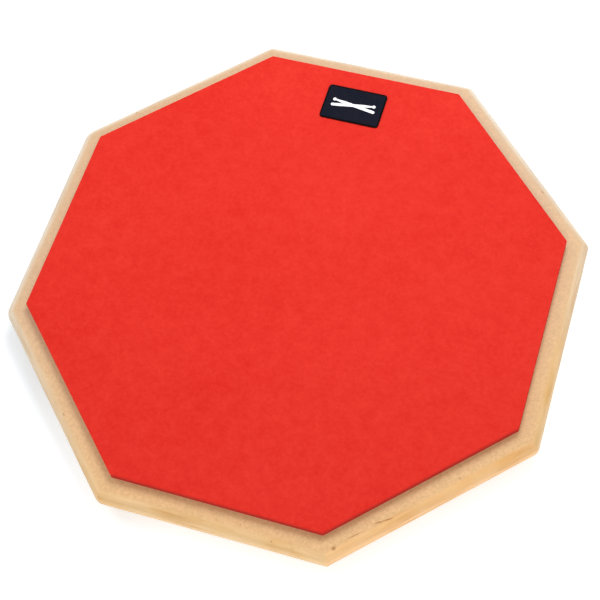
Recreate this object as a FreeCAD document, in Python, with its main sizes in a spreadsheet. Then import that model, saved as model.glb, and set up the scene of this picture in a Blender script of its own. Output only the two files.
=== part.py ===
import FreeCAD, Part
import math
import os

import Sketcher

# An octagonal drum practice pad, lying flat on its rear foam.
# From the table up: rear foam sheet, its adhesive film, the fibreboard core with
# rounded-over edges, the front adhesive film, the rubber striking sheet, and a small
# badge on that sheet: its adhesive, its plate and a raised motif.
# Frame: origin at the centre of the underside, +Z up, the badge towards +Y.
# Units: millimetres and degrees.

PARTS_FOLDER = "parts"
SIDES = 8
SAME_HEIGHT = 1e-3  # heights closer than this are the same
SETTLING_RUNS = 3

# The driving dimensions: alias, value, what it measures.
DIMENSIONS = [
    ("board_flats", 304.8, "core board, flat to flat: a 12 inch pad"),
    ("board_thick", 15.0, "core board thickness"),
    ("board_corner_rad", 5.0, "plan radius of the board's eight corners"),
    ("board_edge_rad", 6.0, "round-over along the board's top and bottom edges"),
    ("sheet_flats", 280.0, "striking sheet and rear foam, flat to flat"),
    ("sheet_corner_rad", 1.5, "plan radius of the sheets' corners"),
    ("strike_thick", 5.0, "striking sheet thickness"),
    ("strike_edge_rad", 0.5, "softening of the striking sheet's top edge"),
    ("foam_thick", 5.0, "rear foam thickness"),
    ("foam_edge_rad", 0.8, "softening of the rear foam's bottom edge"),
    ("film_thick", 0.2, "adhesive film under each sheet"),
    ("badge_long", 36.0, "badge plate along X"),
    ("badge_wide", 24.0, "badge plate along Y"),
    ("badge_thick", 0.6, "badge plate thickness"),
    ("badge_corner_rad", 2.2, "plan radius of the badge plate's corners"),
    ("badge_edge_rad", 0.25, "softening of the badge plate's top edge"),
    ("badge_margin", 12.0, "from the striking sheet's +Y edge to the badge"),
    ("badge_film_thick", 0.1, "adhesive film under the badge"),
    ("badge_film_inset", 0.5, "how far that film stays inside the plate"),
    ("motif_thick", 0.12, "height of the raised motif"),
    ("stick_tilt", 9.0, "slope of each drumstick of the motif, degrees"),
    ("stick_butt", 12.6, "from the crossing to the centre of the rounded butt"),
    ("stick_half", 0.95, "half width of the stick's shaft"),
    ("stick_shoulder", 6.0, "from the crossing to where the shaft starts to taper"),
    ("stick_neck", 11.2, "from the crossing to the neck behind the tip"),
    ("neck_half", 0.5, "half width of the neck"),
    ("tip_rad", 1.05, "radius of the round tip"),
]


def make_sheet(doc):
    """The spreadsheet that holds every driving dimension under its alias."""
    sheet = doc.addObject("Spreadsheet::Sheet", "dims")
    for row, (alias, value, meaning) in enumerate(DIMENSIONS, start=1):
        sheet.set(f"A{row}", alias)
        sheet.set(f"B{row}", str(value))
        sheet.set(f"C{row}", meaning)
        sheet.setAlias(f"B{row}", alias)
    doc.recompute()
    return sheet


def make_body(doc, label, height):
    """A body whose underside lies at the height that the expression gives."""
    body = doc.addObject("PartDesign::Body", label)
    body.Label = label
    body.setExpression(".Placement.Base.z", height)
    return body


def origin_plane(body, role):
    """One of the body's own origin planes."""
    return next(item for item in body.Origin.OriginFeatures if item.Role == role)


def sketch_on_base(body, name):
    """An empty sketch on the body's own XY plane."""
    sketch = body.newObject("Sketcher::SketchObject", name)
    sketch.AttachmentSupport = [(origin_plane(body, "XY_Plane"), "")]
    sketch.MapMode = "FlatFace"
    return sketch


def bind(sketch, constraint, name, expression):
    """Adds a dimension to a sketch, names it and drives it from the sheet."""
    index = sketch.addConstraint(constraint)
    sketch.renameConstraint(index, name)
    sketch.setExpression(f"Constraints.{name}", expression)


def draw_octagon(sketch, flats, expression):
    """A regular octagon about the origin, flats apart, with one side square to +Y."""
    radius = flats / 2 / math.cos(math.pi / SIDES)
    turns = [math.pi * (2 * i + 1) / SIDES for i in range(SIDES)]
    corners = [FreeCAD.Vector(radius * math.cos(a), radius * math.sin(a)) for a in turns]
    for i in range(SIDES):
        sketch.addGeometry(Part.LineSegment(corners[i], corners[(i + 1) % SIDES]))
    middle = FreeCAD.Vector(0, 0, 0)
    up = FreeCAD.Vector(0, 0, 1)
    circle = sketch.addGeometry(Part.Circle(middle, up, radius), True)
    sketch.addConstraint(Sketcher.Constraint("Coincident", circle, 3, -1, 1))
    for i in range(SIDES):
        sketch.addConstraint(Sketcher.Constraint("Coincident", i, 2, (i + 1) % SIDES, 1))
        sketch.addConstraint(Sketcher.Constraint("PointOnObject", i, 1, circle))
    for i in range(1, SIDES):
        sketch.addConstraint(Sketcher.Constraint("Equal", 0, i))
    top, bottom = 1, 5
    sketch.addConstraint(Sketcher.Constraint("Horizontal", top))
    across = Sketcher.Constraint("DistanceY", bottom, 1, top, 1, flats)
    bind(sketch, across, "flats", expression)


def draw_rectangle(sketch, long, wide, long_expression, wide_expression):
    """A rectangle centred on the origin."""
    x, y = long / 2, wide / 2
    corners = [FreeCAD.Vector(*c) for c in ((-x, -y), (x, -y), (x, y), (-x, y))]
    for i in range(4):
        sketch.addGeometry(Part.LineSegment(corners[i], corners[(i + 1) % 4]))
    for i in range(4):
        sketch.addConstraint(Sketcher.Constraint("Coincident", i, 2, (i + 1) % 4, 1))
    for i, way in enumerate(("Horizontal", "Vertical", "Horizontal", "Vertical")):
        sketch.addConstraint(Sketcher.Constraint(way, i))
    sketch.addConstraint(Sketcher.Constraint("Symmetric", 0, 1, 2, 1, -1, 1))
    bind(sketch, Sketcher.Constraint("DistanceX", 0, 1, 0, 2, long), "long", long_expression)
    bind(sketch, Sketcher.Constraint("DistanceY", 1, 1, 1, 2, wide), "wide", wide_expression)


def draw_drumstick(sketch, size):
    """The outline of one drumstick along X: butt at -X, shaft, shoulder, neck, round tip."""
    half, neck_half, tip_rad = size("stick_half"), size("neck_half"), size("tip_rad")
    butt, shoulder, neck = -size("stick_butt"), size("stick_shoulder"), size("stick_neck")
    tip = neck + math.sqrt(tip_rad**2 - neck_half**2)
    opening = math.asin(neck_half / tip_rad)
    up = FreeCAD.Vector(0, 0, 1)
    point = FreeCAD.Vector
    butt_circle = Part.Circle(point(butt, 0, 0), up, half)
    tip_circle = Part.Circle(point(tip, 0, 0), up, tip_rad)
    shaft_low = sketch.addGeometry(Part.LineSegment(point(butt, -half), point(shoulder, -half)))
    taper_low = sketch.addGeometry(
        Part.LineSegment(point(shoulder, -half), point(neck, -neck_half))
    )
    tip_arc = sketch.addGeometry(
        Part.ArcOfCircle(tip_circle, opening - math.pi, math.pi - opening)
    )
    taper_high = sketch.addGeometry(
        Part.LineSegment(point(neck, neck_half), point(shoulder, half))
    )
    shaft_high = sketch.addGeometry(Part.LineSegment(point(shoulder, half), point(butt, half)))
    butt_arc = sketch.addGeometry(
        Part.ArcOfCircle(butt_circle, math.pi / 2, 3 * math.pi / 2)
    )
    ring = [shaft_low, taper_low, tip_arc, taper_high, shaft_high]
    for one, following in zip(ring, ring[1:]):
        sketch.addConstraint(Sketcher.Constraint("Coincident", one, 2, following, 1))
    sketch.addConstraint(Sketcher.Constraint("Tangent", shaft_high, 2, butt_arc, 1))
    sketch.addConstraint(Sketcher.Constraint("Tangent", butt_arc, 2, shaft_low, 1))
    for shaft in (shaft_low, shaft_high):
        sketch.addConstraint(Sketcher.Constraint("Horizontal", shaft))
    sketch.addConstraint(Sketcher.Constraint("PointOnObject", butt_arc, 3, -1))
    sketch.addConstraint(Sketcher.Constraint("Vertical", shaft_low, 2, taper_high, 2))
    sketch.addConstraint(
        Sketcher.Constraint("Symmetric", taper_low, 2, taper_high, 1, -1)
    )
    place = Sketcher.Constraint("DistanceX", butt_arc, 3, -1, 1, -butt)
    bind(sketch, place, "butt", "dims.stick_butt")
    bind(sketch, Sketcher.Constraint("Radius", butt_arc, half), "half", "dims.stick_half")
    place = Sketcher.Constraint("DistanceX", -1, 1, taper_low, 1, shoulder)
    bind(sketch, place, "shoulder", "dims.stick_shoulder")
    place = Sketcher.Constraint("DistanceX", -1, 1, taper_low, 2, neck)
    bind(sketch, place, "neck", "dims.stick_neck")
    width = Sketcher.Constraint("DistanceY", taper_low, 2, taper_high, 1, 2 * neck_half)
    bind(sketch, width, "neck_width", "2 * dims.neck_half")
    bind(sketch, Sketcher.Constraint("Radius", tip_arc, tip_rad), "tip", "dims.tip_rad")


def settle(feature):
    """Recomputes a new feature until its edges have their lasting names, so that
    the fillets made on those edges still find them when a size in the sheet changes."""
    for _ in range(SETTLING_RUNS):
        feature.touch()
        feature.Document.recompute()


def pad_sketch(body, sketch, name, length):
    """Extrudes the sketch upwards by the expression's length."""
    pad = body.newObject("PartDesign::Pad", name)
    pad.Profile = sketch
    pad.setExpression("Length", length)
    sketch.Visibility = False
    settle(pad)
    return pad


def edges_where(shape, test):
    """The names of the shape's edges that pass a test of their lowest and highest Z."""
    names = []
    for number, edge in enumerate(shape.Edges, start=1):
        box = edge.BoundBox
        if test(box.ZMin, box.ZMax):
            names.append(f"Edge{number}")
    return names


def fillet_edges(body, base, name, radius, test):
    """Rounds the base feature's edges that pass the test."""
    fillet = body.newObject("PartDesign::Fillet", name)
    fillet.Base = (base, edges_where(base.Shape, test))
    fillet.setExpression("Radius", radius)
    settle(fillet)
    return fillet


def near(a, b):
    """True for two heights that are the same."""
    return abs(a - b) < SAME_HEIGHT


def upright(low, high):
    """True for an edge that runs up the side, which in plan is a corner."""
    return not near(low, high)


def octagon_body(doc, size, label, height, flats, thick):
    """A body with one octagonal slab; returns the body and its pad."""
    body = make_body(doc, label, height)
    sketch = sketch_on_base(body, f"{label}_outline")
    draw_octagon(sketch, size(flats), f"dims.{flats}")
    return body, pad_sketch(body, sketch, f"{label}_slab", f"dims.{thick}")


def make_core_board(doc, size, height):
    """The fibreboard core: rounded corners in plan and both rims rounded over."""
    body, slab = octagon_body(doc, size, "core_board", height, "board_flats", "board_thick")
    corners = fillet_edges(body, slab, "board_corners", "dims.board_corner_rad", upright)
    thick = size("board_thick")
    fillet_edges(
        body,
        corners,
        "board_rims",
        "dims.board_edge_rad",
        lambda low, high: near(low, high) and (near(low, 0) or near(low, thick)),
    )


def make_sheet_pad(doc, size, label, height, thick, edge_rad, soft_side):
    """A die-cut sheet whose exposed face, at the height soft_side, has a softened edge."""
    body, slab = octagon_body(doc, size, label, height, "sheet_flats", thick)
    corners = fillet_edges(body, slab, f"{label}_corners", "dims.sheet_corner_rad", upright)
    fillet_edges(
        body,
        corners,
        f"{label}_rim",
        f"dims.{edge_rad}",
        lambda low, high: near(low, high) and near(low, soft_side),
    )


def make_film(doc, size, label, height):
    """The adhesive film under a sheet, die-cut to the same outline."""
    body, slab = octagon_body(doc, size, label, height, "sheet_flats", "film_thick")
    fillet_edges(body, slab, f"{label}_corners", "dims.sheet_corner_rad", upright)


def place_on_badge(body):
    """Moves a body to the badge's place along Y."""
    where = "dims.sheet_flats / 2 - dims.badge_margin - dims.badge_wide / 2"
    body.setExpression(".Placement.Base.y", where)


def make_badge_film(doc, size, height):
    """The adhesive film that holds the badge plate."""
    body = make_body(doc, "badge_adhesive", height)
    place_on_badge(body)
    sketch = sketch_on_base(body, "badge_film_outline")
    inset = size("badge_film_inset")
    draw_rectangle(
        sketch,
        size("badge_long") - 2 * inset,
        size("badge_wide") - 2 * inset,
        "dims.badge_long - 2 * dims.badge_film_inset",
        "dims.badge_wide - 2 * dims.badge_film_inset",
    )
    slab = pad_sketch(body, sketch, "badge_film_slab", "dims.badge_film_thick")
    radius = "dims.badge_corner_rad - dims.badge_film_inset"
    fillet_edges(body, slab, "badge_film_corners", radius, upright)


def make_badge_plate(doc, size, height):
    """The moulded badge plate with rounded corners and a softened top edge."""
    body = make_body(doc, "badge_plate", height)
    place_on_badge(body)
    sketch = sketch_on_base(body, "badge_outline")
    draw_rectangle(
        sketch,
        size("badge_long"),
        size("badge_wide"),
        "dims.badge_long",
        "dims.badge_wide",
    )
    slab = pad_sketch(body, sketch, "badge_slab", "dims.badge_thick")
    corners = fillet_edges(body, slab, "badge_corners", "dims.badge_corner_rad", upright)
    thick = size("badge_thick")
    fillet_edges(
        body,
        corners,
        "badge_rim",
        "dims.badge_edge_rad",
        lambda low, high: near(low, high) and near(low, thick),
    )


def make_badge_motif(doc, size, height):
    """A generic raised motif: two drumsticks crossed at a shallow angle."""
    body = make_body(doc, "badge_motif", height)
    place_on_badge(body)
    sketch = sketch_on_base(body, "drumstick_outline")
    sketch.AttachmentOffset = FreeCAD.Placement(
        FreeCAD.Vector(0, 0, 0),
        FreeCAD.Rotation(FreeCAD.Vector(0, 0, 1), size("stick_tilt")),
    )
    sketch.setExpression(".AttachmentOffset.Rotation.Angle", "dims.stick_tilt")
    draw_drumstick(sketch, size)
    stick = pad_sketch(body, sketch, "drumstick", "dims.motif_thick")
    mirror = body.newObject("PartDesign::Mirrored", "crossed_drumstick")
    mirror.Originals = [stick]
    mirror.MirrorPlane = (origin_plane(body, "YZ_Plane"), [""])
    body.Tip = mirror
    doc.recompute()


def failed_objects(doc):
    """Objects that recompute left in a failed state."""
    return [o.Name for o in doc.Objects if "Invalid" in o.State or "Error" in o.State]


def export_bodies(doc):
    """Writes each body's solid to its own STEP file and prints its size."""
    os.makedirs(PARTS_FOLDER, exist_ok=True)
    bodies = [o for o in doc.Objects if o.TypeId == "PartDesign::Body"]
    for body in bodies:
        shape = body.Shape
        if shape.isNull() or not shape.isValid() or not shape.Solids:
            raise RuntimeError(f"{body.Label} has no valid solid")
    for body in bodies:
        shape = body.Shape
        shape.exportStep(os.path.join(PARTS_FOLDER, f"{body.Label}.step"))
        box = shape.BoundBox
        print(
            f"{body.Label}: {box.XLength:.2f} x {box.YLength:.2f} x {box.ZLength:.2f} mm, "
            f"z {box.ZMin:.2f} to {box.ZMax:.2f}, {shape.Volume / 1000:.2f} cm3"
        )


def main():
    doc = FreeCAD.newDocument("practice_pad")
    sheet = make_sheet(doc)

    def size(alias):
        return float(sheet.get(alias))

    foam_top = "dims.foam_thick"
    board_low = f"{foam_top} + dims.film_thick"
    board_top = f"{board_low} + dims.board_thick"
    strike_low = f"{board_top} + dims.film_thick"
    strike_top = f"{strike_low} + dims.strike_thick"
    badge_low = f"{strike_top} + dims.badge_film_thick"
    badge_top = f"{badge_low} + dims.badge_thick"

    make_sheet_pad(doc, size, "rear_foam_pad", "0 mm", "foam_thick", "foam_edge_rad", 0)
    make_film(doc, size, "rear_pad_adhesive", foam_top)
    make_core_board(doc, size, board_low)
    make_film(doc, size, "striking_pad_adhesive", board_top)
    make_sheet_pad(
        doc,
        size,
        "striking_pad",
        strike_low,
        "strike_thick",
        "strike_edge_rad",
        size("strike_thick"),
    )
    make_badge_film(doc, size, strike_top)
    make_badge_plate(doc, size, badge_low)
    make_badge_motif(doc, size, badge_top)
    doc.recompute()
    failed = failed_objects(doc)
    if failed:
        raise RuntimeError(f"these objects failed: {failed}")
    export_bodies(doc)


main()
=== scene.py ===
import math

import bmesh
import bpy
from mathutils import Matrix, Vector, noise


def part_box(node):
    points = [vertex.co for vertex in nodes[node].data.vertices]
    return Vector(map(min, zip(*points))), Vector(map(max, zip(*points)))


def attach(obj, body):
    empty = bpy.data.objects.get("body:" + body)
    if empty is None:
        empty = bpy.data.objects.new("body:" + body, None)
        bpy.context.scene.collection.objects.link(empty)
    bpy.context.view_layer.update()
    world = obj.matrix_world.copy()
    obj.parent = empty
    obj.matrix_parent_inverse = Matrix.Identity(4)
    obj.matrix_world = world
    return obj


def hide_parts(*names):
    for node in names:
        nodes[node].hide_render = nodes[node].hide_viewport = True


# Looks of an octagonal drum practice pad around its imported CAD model.
# Lengths are in metres; MM turns a length written in millimetres into metres.
MM = 0.001
SIDES = 8
SIDE_ANGLE = 2 * math.pi / SIDES
BODY = "root"

# Steps of the meshes: round a corner seen from above, along a side of an octagon, round the
# quarter circle of a routed rim, and round the quarter circle of a small softened edge.
ARC_STEPS = 8
SIDE_STEPS = 24
RIM_STEPS = 10
EDGE_STEPS = 5

# Edges that turn by more than this stay sharp in the shading.
SHARP_ANGLE = math.radians(40)

# The die-cut sheets: their corners' radius, the heights at which their walls have a ring, as
# shares of the wall, and how far apart the rings on their faces are.
SHEET_CORNER_RAD = 1.5 * MM
WALL_LEVELS = (0.0, 0.1, 0.3, 0.5, 0.7, 0.9, 1.0)
SHEET_STEP = 4 * MM

# The red face dips in waves, this many to a metre, that fade out towards its edge.
FACE_WAVES = 18
FACE_BORDER = 10 * MM

# The board: its routed rim, how far apart the rings on its faces are, and how deep and in
# how many waves to a metre its rim was sanded.
RIM_RAD = 6 * MM
BOARD_STEP = 10 * MM
SANDING_DEPTH = 0.25 * MM
SANDING_WAVES = 22

# How round each corner of the board was sanded, starting between the sides that face +X and
# +X+Y and going round anticlockwise as seen from above.
BOARD_CORNERS = [rad * MM for rad in (5.0, 5.0, 6.0, 11.0, 9.0, 6.0, 2.0, 5.5)]

# The board's sides are numbered anticlockwise from the +X side, from -4 to 4. Its streaks are
# looked up with each side in a storey of its own, this high, so no two sides are alike.
STOREY = 0.4

# One side has deeper-coloured lacquer, and the wood is painted lighter this way, from the first
# distance to the second along it, as painted sheen on the far sides.
DEEPER_SIDE = -1
SHEEN_WAY = Vector((-0.5, 0.87, 0))
SHEEN_FROM, SHEEN_TO = -100 * MM, 30 * MM

# Dark flecks in the routed rim. For each: the side's number; how far out and how far along
# the side it is; its half width and half length; and its slant in radians.
FLECKS = (
    (-1, 148.2 * MM, -56.4 * MM, 1.05 * MM, 1.35 * MM, 0.0),
    (-1, 147.5 * MM, -29.8 * MM, 0.45 * MM, 2.8 * MM, 0.20),
    (-1, 148.3 * MM, -25.0 * MM, 0.40 * MM, 3.2 * MM, 0.20),
    (-1, 147.5 * MM, -44.0 * MM, 0.28 * MM, 5.0 * MM, 0.05),
    (-1, 147.2 * MM, 18.3 * MM, 0.45 * MM, 0.6 * MM, 0.0),
    (-2, 145.9 * MM, 15.4 * MM, 0.40 * MM, 0.5 * MM, 0.0),
    (-2, 149.6 * MM, 33.4 * MM, 0.40 * MM, 0.5 * MM, 0.0),
    (1, 147.5 * MM, -22.0 * MM, 0.40 * MM, 1.1 * MM, 0.0),
    (3, 148.3 * MM, 31.0 * MM, 0.45 * MM, 0.8 * MM, 0.0),
    (-3, 148.0 * MM, 12.0 * MM, 0.40 * MM, 0.9 * MM, 0.0),
)

# Camera: from where it looks, in degrees and metres; where on the striking pad's face it
# looks, in X and Y; and its lens and sensor in millimetres.
VIEW_AZIMUTH = 24.95
VIEW_ELEVATION = 61.87
VIEW_ROLL = -8.75
VIEW_DISTANCE = 0.760
VIEW_TARGET = (7.7 * MM, -16.1 * MM)
LENS = 82.9
SENSOR = 36.0

# How bright the surroundings and the light table are by themselves. Left of the first place
# in X the table has its left glow, right of the second its full glow.
SURROUNDINGS = 0.55
LEFT_GLOW = 0.10
TABLE_GLOW = 0.41
GLOW_FROM, GLOW_TO = -0.13, -0.02

# The floor reaches this far each way from the middle.
FLOOR_REACH = 3.0


# ---------------------------------------------------------------- meshes

def octagon(flats, corner_rads, inset, z):
    """One ring round an octagon whose sides face X, Y and the diagonals, drawn in by inset.
    It starts on the +X side and goes anticlockwise; the corners are arcs."""
    inner = flats / 2 - inset
    rads = [max(rad - inset, 0.1 * rad) for rad in corner_rads]
    ring = []
    for side in range(SIDES):
        turn = side * SIDE_ANGLE
        out = Vector((math.cos(turn), math.sin(turn), 0))
        along = Vector((-out.y, out.x, 0))
        start = -(inner - rads[side - 1]) * math.tan(SIDE_ANGLE / 2)
        end = (inner - rads[side]) * math.tan(SIDE_ANGLE / 2)
        for i in range(SIDE_STEPS):
            ring.append(out * inner + along * (start + (end - start) * i / SIDE_STEPS))
        middle = turn + SIDE_ANGLE / 2
        reach = (inner - rads[side]) / math.cos(SIDE_ANGLE / 2)
        centre = Vector((math.cos(middle), math.sin(middle), 0)) * reach
        for i in range(ARC_STEPS):
            bend = turn + SIDE_ANGLE * i / ARC_STEPS
            ring.append(centre + Vector((math.cos(bend), math.sin(bend), 0)) * rads[side])
    return [Vector((p.x, p.y, z)) for p in ring]


def oblong(length, width, corner_rad, inset, centre, z):
    """One ring round an oblong with rounded corners, drawn in by inset."""
    rad = max(corner_rad - inset, 0.1 * corner_rad)
    ring = []
    for quarter, (side_x, side_y) in enumerate(((1, 1), (-1, 1), (-1, -1), (1, -1))):
        middle_x = centre.x + side_x * (length / 2 - inset - rad)
        middle_y = centre.y + side_y * (width / 2 - inset - rad)
        for bend in arc(quarter * math.pi / 2, (quarter + 1) * math.pi / 2, ARC_STEPS):
            x = middle_x + rad * math.cos(bend)
            y = middle_y + rad * math.sin(bend)
            ring.append(Vector((x, y, z)))
    return ring


def skin(name, rings):
    """A closed mesh object through rings of equal length, with a fan at each end."""
    mesh = bmesh.new()
    rows = [[mesh.verts.new(p) for p in ring] for ring in rings]
    count = len(rows[0])
    for low, high in zip(rows, rows[1:]):
        for i in range(count):
            j = (i + 1) % count
            mesh.faces.new((low[i], low[j], high[j], high[i]))
    for row, flip in ((rows[0], True), (rows[-1], False)):
        hub = mesh.verts.new(sum((vert.co for vert in row), Vector()) / count)
        for i in range(count):
            pair = (row[i], row[(i + 1) % count])
            mesh.faces.new((hub, *reversed(pair)) if flip else (hub, *pair))
    return finished(name, mesh)


def finished(name, mesh):
    """Turns a bmesh into a shaded object that rides on the body."""
    data = bpy.data.meshes.new(name)
    mesh.to_mesh(data)
    mesh.free()
    data.shade_smooth()
    data.set_sharp_from_angle(angle=SHARP_ANGLE)
    piece = bpy.data.objects.new(name, data)
    bpy.context.scene.collection.objects.link(piece)
    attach(piece, BODY)
    return piece


def arc(start, end, steps):
    """Angles from start to end in equal steps, both ends included."""
    return [start + (end - start) * i / steps for i in range(steps + 1)]


def facing_rings(flats, corner_rads, first_inset, z, step, sag=None):
    """Rings from first_inset inwards over a flat face, step apart; sag moves a point in Z."""
    rings = []
    inset = first_inset + step
    while inset < flats / 2 - step:
        ring = octagon(flats, corner_rads, inset, z)
        if sag:
            ring = [p + Vector((0, 0, sag(p, inset - first_inset))) for p in ring]
        rings.append(ring)
        inset += step
    return rings


def pad_rings(low, high, edge_rad, draw, wave):
    """Rings of a die-cut sheet between two heights, from its bottom to its top face.
    The side is drawn in a little at mid height, as a cutting die leaves it, and the top
    edge is softened. wave is how far the top face dips at most."""
    flats = high.x - low.x
    wall_top = high.z - edge_rad
    corner_rads = [SHEET_CORNER_RAD] * SIDES
    rings = [octagon(flats, corner_rads, edge_rad, low.z)]
    for part in WALL_LEVELS:
        inset = draw * math.sin(math.pi * part)
        rings.append(octagon(flats, corner_rads, inset, low.z + (wall_top - low.z) * part))
    for bend in arc(0, math.pi / 2, EDGE_STEPS)[1:]:
        inset = edge_rad * (1 - math.cos(bend))
        rings.append(octagon(flats, corner_rads, inset, wall_top + edge_rad * math.sin(bend)))

    def sag(point, depth):
        fade = min(depth / FACE_BORDER, 1)
        return -wave * fade * (0.5 + 0.5 * noise.noise(point * FACE_WAVES))

    return rings + facing_rings(flats, corner_rads, edge_rad, high.z, SHEET_STEP, sag)


def make_striking_pad():
    """The rubber sheet that is played on."""
    low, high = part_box("striking_pad")
    rings = pad_rings(low, high, edge_rad=0.5 * MM, draw=0.1 * MM, wave=0.06 * MM)
    piece = skin("striking_pad_rubber", rings)
    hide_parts("striking_pad")
    dress(piece, rubber_material(high.z))


def make_rear_pad():
    """The foam sheet underneath: the same sheet turned over, so its softened edge is below."""
    low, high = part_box("rear_foam_pad")
    rings = pad_rings(low, high, edge_rad=0.8 * MM, draw=0.15 * MM, wave=0)
    middle = (low.z + high.z) / 2
    turned = []
    for ring in reversed(rings):
        turned.append([Vector((p.x, p.y, 2 * middle - p.z)) for p in ring])
    piece = skin("rear_pad_foam", turned)
    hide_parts("rear_foam_pad")
    dress(piece, foam_material())


def sanded(ring):
    """Draws a ring in by up to the sanding depth, unevenly, as a hand-sanded edge is."""
    worn = []
    for point in ring:
        outwards = Vector((point.x, point.y, 0)).normalized()
        depth = SANDING_DEPTH * (0.5 + 0.5 * noise.noise(point * SANDING_WAVES))
        worn.append(point - outwards * depth)
    return worn


def make_board():
    """The fibreboard core with both rims rounded over by a router and sanded."""
    low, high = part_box("core_board")
    flats = high.x - low.x
    lower_rim = (low.z + RIM_RAD, arc(-math.pi / 2, 0, RIM_STEPS))
    upper_rim = (high.z - RIM_RAD, arc(0, math.pi / 2, RIM_STEPS))
    rings = []
    for centre, bends in (lower_rim, upper_rim):
        for bend in bends:
            inset = RIM_RAD * (1 - math.cos(bend))
            z = centre + RIM_RAD * math.sin(bend)
            rings.append(sanded(octagon(flats, BOARD_CORNERS, inset, z)))
    under = facing_rings(flats, BOARD_CORNERS, RIM_RAD, low.z, BOARD_STEP)
    over = facing_rings(flats, BOARD_CORNERS, RIM_RAD, high.z, BOARD_STEP)
    piece = skin("core_board_wood", under[::-1] + rings + over)
    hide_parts("core_board")
    dress(piece, board_material(low.z, high.z))


def make_badge():
    """The moulded plate: a smooth raised rim round a sunk, pebbled field."""
    low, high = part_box("badge_plate")
    middle = (low + high) / 2
    length, width = high.x - low.x, high.y - low.y
    corner_rad, edge_rad, foot_chamfer = 2.2 * MM, 0.25 * MM, 0.1 * MM
    rim_wide, rim_high, slope, field_ring = 0.9 * MM, 0.07 * MM, 0.15 * MM, 2 * MM
    profile = [(foot_chamfer, low.z), (0, low.z + foot_chamfer)]
    for bend in arc(0, math.pi / 2, EDGE_STEPS):
        inset = edge_rad * (1 - math.cos(bend))
        profile.append((inset, high.z + rim_high - edge_rad + edge_rad * math.sin(bend)))
    profile.append((rim_wide - slope, high.z + rim_high))
    profile.append((rim_wide, high.z))
    profile.append((rim_wide + field_ring, high.z))
    rings = [oblong(length, width, corner_rad, inset, middle, z) for inset, z in profile]
    piece = skin("badge_plate_moulded", rings)
    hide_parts("badge_plate")
    dress(piece, badge_material(middle, length / 2 - rim_wide, width / 2 - rim_wide))


# ---------------------------------------------------------------- materials

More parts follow.
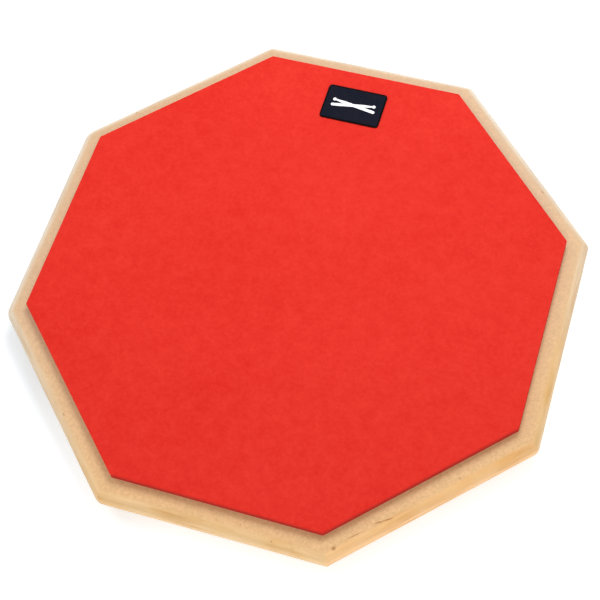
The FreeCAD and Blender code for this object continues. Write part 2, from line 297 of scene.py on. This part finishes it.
class Nodes:
    """A material's node tree, with short ways to add what the materials need."""

    def __init__(self, name):
        self.material = bpy.data.materials.new(name)
        self.material.use_nodes = True
        self.tree = self.material.node_tree
        self.shader = self.tree.nodes["Principled BSDF"]

    def link(self, source, socket):
        self.tree.links.new(source, socket)

    def add(self, kind, settings=None, **inputs):
        """Adds a node. inputs are values or other nodes' outputs, by socket name or by
        number as _0, _1; spaces in a socket's name are written as underscores."""
        made = self.tree.nodes.new(kind)
        for name, value in (settings or {}).items():
            setattr(made, name, value)
        for name, value in inputs.items():
            number = name[1:].isdigit() and name[0] == "_"
            socket = made.inputs[int(name[1:]) if number else name.replace("_", " ")]
            if isinstance(value, bpy.types.NodeSocket):
                self.link(value, socket)
            else:
                socket.default_value = value
        return made

    def math(self, operation, *values):
        """A Math node's result."""
        inputs = {f"_{i}": value for i, value in enumerate(values)}
        return self.add("ShaderNodeMath", {"operation": operation}, **inputs).outputs[0]

    def vector(self, operation, *values):
        """A Vector Math node's result; the second value of SCALE is a number."""
        made = self.add("ShaderNodeVectorMath", {"operation": operation}, _0=values[0])
        if operation == "SCALE":
            made.inputs["Scale"].default_value = values[1]
        elif len(values) > 1 and isinstance(values[1], bpy.types.NodeSocket):
            self.link(values[1], made.inputs[1])
        elif len(values) > 1:
            made.inputs[1].default_value = values[1]
        return made.outputs["Value" if operation in ("LENGTH", "DOT_PRODUCT") else "Vector"]

    def place(self):
        """Where a point is on the object, in metres."""
        return self.add("ShaderNodeTexCoord").outputs["Object"]

    def turn(self, vector, angle):
        """The vector turned about Z by an angle, a number or another node's output."""
        settings = {"rotation_type": "Z_AXIS"}
        return self.add("ShaderNodeVectorRotate", settings, Vector=vector, Angle=angle).outputs[0]

    def cells(self, vector, size):
        """Rounded cells about size metres across: how far a point is from its cell's middle."""
        made = self.add("ShaderNodeTexVoronoi", Vector=vector, Scale=1 / size)
        return made.outputs["Distance"]

    def noise(self, vector, size, detail=3, roughness=0.5, stretch=None):
        """Cloudy noise about 0.5 whose features are about size metres across."""
        if stretch:
            vector = self.add(
                "ShaderNodeMapping", {"vector_type": "POINT"}, Vector=vector, Scale=stretch
            ).outputs[0]
        made = self.add(
            "ShaderNodeTexNoise",
            Vector=vector,
            Scale=1 / size,
            Detail=detail,
            Roughness=roughness,
        )
        return made.outputs["Fac"]

    def noise_vector(self, vector, size):
        """A cloudy offset about zero in all three directions, up to about half."""
        made = self.add("ShaderNodeTexNoise", Vector=vector, Scale=1 / size, Detail=2)
        return self.vector("SUBTRACT", made.outputs["Color"], Vector((0.5, 0.5, 0.5)))

    def span(self, value, low, high, to_low=0.0, to_high=1.0):
        """Value from low..high spread over to_low..to_high, clamped."""
        made = self.add(
            "ShaderNodeMapRange",
            Value=value,
            From_Min=low,
            From_Max=high,
            To_Min=to_low,
            To_Max=to_high,
        )
        return made.outputs[0]

    def mix(self, factor, first, second, blend="MIX"):
        """Mixes two colours, each an (r, g, b) or another node's output."""
        made = self.add("ShaderNodeMix", {"data_type": "RGBA", "blend_type": blend}, _0=factor)
        for socket, colour in zip(made.inputs[6:8], (first, second)):
            if isinstance(colour, bpy.types.NodeSocket):
                self.link(colour, socket)
            else:
                socket.default_value = (*colour, 1)
        return made.outputs[2]

    def bump(self, height, depth, below=None):
        """Tilts the surface by a height field of 0..1 that is depth metres deep."""
        made = self.add("ShaderNodeBump", Height=height, Distance=depth)
        if below:
            self.link(below, made.inputs["Normal"])
        return made.outputs[0]

    def shade(self, colour, roughness, normal=None, **fixed):
        """Feeds the shader and sets its fixed numbers."""
        self.link(colour, self.shader.inputs["Base Color"])
        self.link(roughness, self.shader.inputs["Roughness"])
        if normal:
            self.link(normal, self.shader.inputs["Normal"])
        for name, value in fixed.items():
            self.shader.inputs[name.replace("_", " ")].default_value = value
        return self.material


def dress(piece, material):
    """Gives a piece one material."""
    piece.data.materials.clear()
    piece.data.materials.append(material)


def rubber_material(top):
    """Matt red rubber: a fine neutral grain, faint clouds from moulding, and the side wall
    below the top edge painted a darker red as painted shade."""
    n = Nodes("red_rubber")
    place = n.place()
    height = n.add("ShaderNodeSeparateXYZ", _0=place).outputs[2]
    grain = n.noise(place, 2.2 * MM, detail=4, roughness=0.7)
    mottle = n.noise(place, 8 * MM, detail=3)
    clouds = n.noise(place, 45 * MM, detail=2)
    shade = n.math("MULTIPLY", n.span(grain, 0.25, 0.75), 0.60)
    shade = n.math("MULTIPLY_ADD", n.span(mottle, 0.25, 0.75), 0.24, shade)
    shade = n.math("MULTIPLY_ADD", n.span(clouds, 0.25, 0.75), 0.16, shade)
    dark_red, light_red = (0.545, 0.0045, 0.0003), (0.685, 0.0335, 0.0200)
    # A darker red for the side wall below the top edge: painted shade.
    wall_shade_red = (0.46, 0.0200, 0.0140)
    red = n.mix(shade, dark_red, light_red)
    cut = n.span(height, top - 0.9 * MM, top - 0.4 * MM, 1, 0)
    red = n.mix(cut, red, wall_shade_red)
    roughness = n.span(grain, 0.3, 0.7, 0.66, 0.80)
    coarse = n.bump(mottle, 0.04 * MM)
    normal = n.bump(grain, 0.05 * MM, coarse)
    return n.shade(red, roughness, normal, Specular_IOR_Level=0.15)


def foam_material():
    """Black foam rubber with open cells."""
    n = Nodes("black_foam")
    place = n.place()
    cells = n.cells(place, 0.8 * MM)
    mottle = n.noise(place, 12 * MM, detail=3)
    black = n.mix(n.span(cells, 0.1, 0.7), (0.007, 0.007, 0.008), (0.020, 0.020, 0.021))
    black = n.mix(n.span(mottle, 0.4, 0.7, 0, 0.4), black, (0.030, 0.029, 0.028))
    roughness = n.span(mottle, 0.3, 0.7, 0.75, 0.9)
    return n.shade(black, roughness, n.bump(cells, 0.15 * MM), Specular_IOR_Level=0.3)


def side_space(n, place):
    """Each side's number, and its own space: X out of the side, Y along it, Z in its storey."""
    x, y, _ = n.add("ShaderNodeSeparateXYZ", _0=place).outputs
    side = n.math("ROUND", n.math("DIVIDE", n.math("ARCTAN2", y, x), SIDE_ANGLE))
    turned = n.turn(place, n.math("MULTIPLY", side, -SIDE_ANGLE))
    lift = n.add("ShaderNodeCombineXYZ", _2=n.math("MULTIPLY", side, STOREY)).outputs[0]
    return side, n.vector("ADD", turned, lift)


def rim_colour(n, side, on_side, streaks, painted_sheen):
    """Routed wood: fine streaks along the side, broad bands, soft patches and dark pores, and
    a lighter, creamier painted sheen on the far sides.
    """
    bands = n.noise(on_side, 10 * MM, detail=2, stretch=(1, 0.14, 1))
    patches = n.noise(on_side, 30 * MM, detail=2)
    pores = n.noise(on_side, 1.4 * MM, detail=3, stretch=(1, 0.30, 1))
    streaky = n.span(streaks, 0.35, 0.65)
    rim = n.mix(streaky, (0.570, 0.315, 0.110), (0.770, 0.515, 0.265))
    rim = n.mix(n.span(bands, 0.42, 0.60, 0, 0.65), rim, (0.700, 0.420, 0.160))
    rim = n.mix(n.span(patches, 0.44, 0.58, 0, 0.50), rim, (0.720, 0.500, 0.270))
    rim = n.mix(n.span(pores, 0.60, 0.75, 0, 0.40), rim, (0.500, 0.280, 0.115))
    deeper = n.math("COMPARE", side, DEEPER_SIDE, 0.5)
    rim = n.mix(deeper, rim, (1.07, 0.98, 0.90), blend="MULTIPLY")
    # Painted sheen: a lighter, creamier rim on the far sides.
    pale = n.mix(streaky, (0.595, 0.490, 0.380), (0.695, 0.620, 0.510))
    return n.mix(n.math("MULTIPLY", painted_sheen, 0.85), rim, pale)


def face_colour(n, place, fibres, painted_sheen):
    """The flat face: speckles of single fibres and larger flakes, mixed towards grey on the
    far sides as painted sheen.
    """
    flakes = n.noise(place, 4 * MM, detail=3)
    face = n.mix(n.span(fibres, 0.3, 0.7), (0.550, 0.335, 0.150), (0.735, 0.462, 0.232))
    face = n.mix(n.span(flakes, 0.4, 0.7, 0, 0.4), face, (0.655, 0.415, 0.205))
    # Painted sheen: the face turns greyer towards the far sides.
    return n.mix(n.math("MULTIPLY", painted_sheen, 0.35), face, (0.430, 0.345, 0.290))


def add_flecks(n, colour, place, on_side, height):
    """Lays the dark flecks over the colour, with frayed outlines and their middles at height."""
    ragged = n.vector("SCALE", n.noise_vector(place, 0.7 * MM), 0.5 * MM)
    frayed = n.vector("ADD", on_side, ragged)
    half_height = 10 * MM
    for number, out, along, half_wide, half_long, slant in FLECKS:
        middle = Vector((out, along, height + number * STOREY))
        apart = n.turn(n.vector("SUBTRACT", frayed, middle), slant)
        apart = n.vector("DIVIDE", apart, Vector((half_wide, half_long, half_height)))
        spot = n.span(n.vector("LENGTH", apart), 0.4, 1.2, 0.75, 0)
        colour = n.mix(spot, colour, (0.300, 0.110, 0.020))
    return colour


def board_material(bottom, top):
    """Clear-lacquered fibreboard: speckled flat faces, and routed rims with streaks along
    each side and a few dark flecks. One side's lacquer is deeper in colour. On the far sides
    the rims are painted lighter and creamier and the faces greyer, as painted sheen."""
    n = Nodes("lacquered_fibreboard")
    place = n.place()
    side, on_side = side_space(n, place)
    streaks = n.noise(on_side, 3.6 * MM, detail=4, roughness=0.6, stretch=(1, 0.10, 1))
    fibres = n.noise(place, 1.6 * MM, detail=4, roughness=0.65)
    # Painted sheen: how far towards the far sides a point is, for the lighter colours there.
    painted_sheen = n.span(n.vector("DOT_PRODUCT", place, SHEEN_WAY), SHEEN_FROM, SHEEN_TO)
    rim = rim_colour(n, side, on_side, streaks, painted_sheen)
    face = face_colour(n, place, fibres, painted_sheen)
    z = n.add("ShaderNodeSeparateXYZ", _0=place).outputs[2]
    depth = n.math("MINIMUM", n.math("SUBTRACT", top, z), n.math("SUBTRACT", z, bottom))
    flat = n.span(depth, 0.02 * MM, 0.70 * MM, 1, 0)
    colour = n.mix(flat, rim, face)
    colour = add_flecks(n, colour, place, on_side, top - RIM_RAD / 3)
    roughness = n.span(fibres, 0.3, 0.7, 0.42, 0.58)
    normal = n.bump(fibres, 0.03 * MM, n.bump(streaks, 0.06 * MM))
    return n.shade(colour, roughness, normal, Specular_IOR_Level=0.3)


def film_material():
    """Cream adhesive film, a little uneven."""
    n = Nodes("adhesive_film")
    place = n.place()
    ripples = n.noise(place, 3 * MM, detail=3)
    cream = n.mix(ripples, (0.52, 0.47, 0.36), (0.66, 0.61, 0.50))
    roughness = n.span(ripples, 0.3, 0.7, 0.35, 0.55)
    return n.shade(cream, roughness, n.bump(ripples, 0.03 * MM))


def badge_material(middle, half_long, half_wide):
    """Near-black moulded plastic: pebbled inside the rim, smooth on it, and the rim and
    the plate's sides painted darker as painted shade.
    """
    n = Nodes("badge_plastic")
    place = n.place()
    pebbles = n.cells(place, 0.8 * MM)
    mottle = n.noise(place, 4 * MM, detail=3)
    dark = n.mix(n.span(pebbles, 0.1, 0.6), (0.0035, 0.0040, 0.0095), (0.0095, 0.0100, 0.0170))
    dark = n.mix(n.span(mottle, 0.4, 0.7, 0, 0.5), dark, (0.0040, 0.0075, 0.0170))
    x, y, _ = n.add("ShaderNodeSeparateXYZ", _0=n.vector("SUBTRACT", place, middle)).outputs
    past_x = n.math("SUBTRACT", n.math("ABSOLUTE", x), half_long)
    past_y = n.math("SUBTRACT", n.math("ABSOLUTE", y), half_wide)
    # The rim and the plate's sides are painted darker: painted shade along the edge.
    rim = n.span(n.math("MAXIMUM", past_x, past_y), -0.15 * MM, 0.05 * MM)
    dark = n.mix(rim, dark, (0.0020, 0.0020, 0.0026))
    roughness = n.span(pebbles, 0.1, 0.6, 0.7, 0.85)
    relief = n.math("MULTIPLY", pebbles, n.math("SUBTRACT", 1, rim))
    return n.shade(dark, roughness, n.bump(relief, 0.06 * MM), Specular_IOR_Level=0.05)


def print_material():
    """White print, slightly thinner in places."""
    n = Nodes("white_print")
    place = n.place()
    patches = n.noise(place, 0.8 * MM, detail=3)
    white = n.mix(n.span(patches, 0.3, 0.6), (0.74, 0.75, 0.77), (0.86, 0.86, 0.86))
    roughness = n.span(patches, 0.3, 0.7, 0.4, 0.6)
    return n.shade(white, roughness, n.bump(patches, 0.02 * MM))


def floor_material():
    """A pale light table: white acrylic that glows from below, less so on the left."""
    n = Nodes("light_table")
    place = n.place()
    clouds = n.noise(place, 400 * MM, detail=2)
    white = n.mix(clouds, (0.84, 0.88, 0.92), (0.86, 0.90, 0.94))
    roughness = n.span(clouds, 0.3, 0.7, 0.85, 0.95)
    across = n.add("ShaderNodeSeparateXYZ", _0=place).outputs[0]
    glow = n.span(across, GLOW_FROM, GLOW_TO, LEFT_GLOW, TABLE_GLOW)
    n.link(glow, n.shader.inputs["Emission Strength"])
    n.shader.inputs["Emission Color"].default_value = (0.97, 0.985, 1, 1)
    return n.shade(white, roughness, Specular_IOR_Level=0.2)


# ---------------------------------------------------------------- the room

def make_floor():
    """A wide floor that the pad stands on."""
    mesh = bmesh.new()
    signs = ((-1, -1), (1, -1), (1, 1), (-1, 1))
    mesh.faces.new([mesh.verts.new((x * FLOOR_REACH, y * FLOOR_REACH, 0)) for x, y in signs])
    data = bpy.data.meshes.new("floor")
    mesh.to_mesh(data)
    mesh.free()
    floor = bpy.data.objects.new("floor", data)
    bpy.context.scene.collection.objects.link(floor)
    dress(floor, floor_material())


def aim(thing, target, roll=0.0):
    """Points a camera or a lamp at a place, turned about its own axis by roll."""
    look = (Vector(target) - thing.location).to_track_quat("-Z", "Y").to_matrix().to_4x4()
    place = Matrix.Translation(thing.location)
    thing.matrix_world = place @ look @ Matrix.Rotation(roll, 4, "Z")


def make_lamp(name, place, size, power):
    """A square soft box that points at the origin and that the camera doesn't see."""
    data = bpy.data.lights.new(name, "AREA")
    data.shape = "SQUARE"
    data.size = size
    data.energy = power
    lamp = bpy.data.objects.new(name, data)
    lamp.location = place
    lamp.visible_camera = False
    bpy.context.scene.collection.objects.link(lamp)
    aim(lamp, (0, 0, 0))


def make_light():
    """A soft box over the far side, a weaker one far out on the left, a wide fill in front
    and to the right, and white surroundings."""
    make_lamp("main", (0.05, 0.4, 0.7), size=0.4, power=4.2)
    make_lamp("left", (-1.0, 0.2, 0.9), size=0.5, power=4.0)
    make_lamp("fill", (0.4, -1.25, 0.7), size=1.0, power=8.0)
    world = bpy.data.worlds.new("studio")
    world.use_nodes = True
    background = world.node_tree.nodes["Background"]
    background.inputs["Color"].default_value = (1, 1, 1, 1)
    background.inputs["Strength"].default_value = SURROUNDINGS
    bpy.context.scene.world = world


def make_camera(face):
    """The camera at the photograph's angle; face is the height of the striking pad's face."""
    azimuth, elevation = math.radians(VIEW_AZIMUTH), math.radians(VIEW_ELEVATION)
    back = Vector((
        math.sin(azimuth) * math.cos(elevation),
        -math.cos(azimuth) * math.cos(elevation),
        math.sin(elevation),
    ))
    target = Vector((*VIEW_TARGET, face))
    data = bpy.data.cameras.new("camera")
    data.sensor_width = SENSOR
    data.lens = LENS
    camera = bpy.data.objects.new("camera", data)
    camera.location = target + back * VIEW_DISTANCE
    bpy.context.scene.collection.objects.link(camera)
    aim(camera, target, math.radians(VIEW_ROLL))
    bpy.context.scene.camera = camera
    bpy.context.scene.view_settings.view_transform = "Standard"


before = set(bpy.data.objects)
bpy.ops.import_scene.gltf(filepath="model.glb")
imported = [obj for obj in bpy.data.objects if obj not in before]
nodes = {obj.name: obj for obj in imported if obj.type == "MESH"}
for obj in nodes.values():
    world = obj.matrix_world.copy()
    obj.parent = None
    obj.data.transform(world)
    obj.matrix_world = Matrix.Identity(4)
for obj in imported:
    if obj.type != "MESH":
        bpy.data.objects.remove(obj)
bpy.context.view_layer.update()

make_striking_pad()
make_rear_pad()
make_board()
make_badge()
film = film_material()
for name in ("striking_pad_adhesive", "rear_pad_adhesive", "badge_adhesive"):
    dress(nodes[name], film)
dress(nodes["badge_motif"], print_material())

make_floor()
make_light()
make_camera(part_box("striking_pad")[1].z)
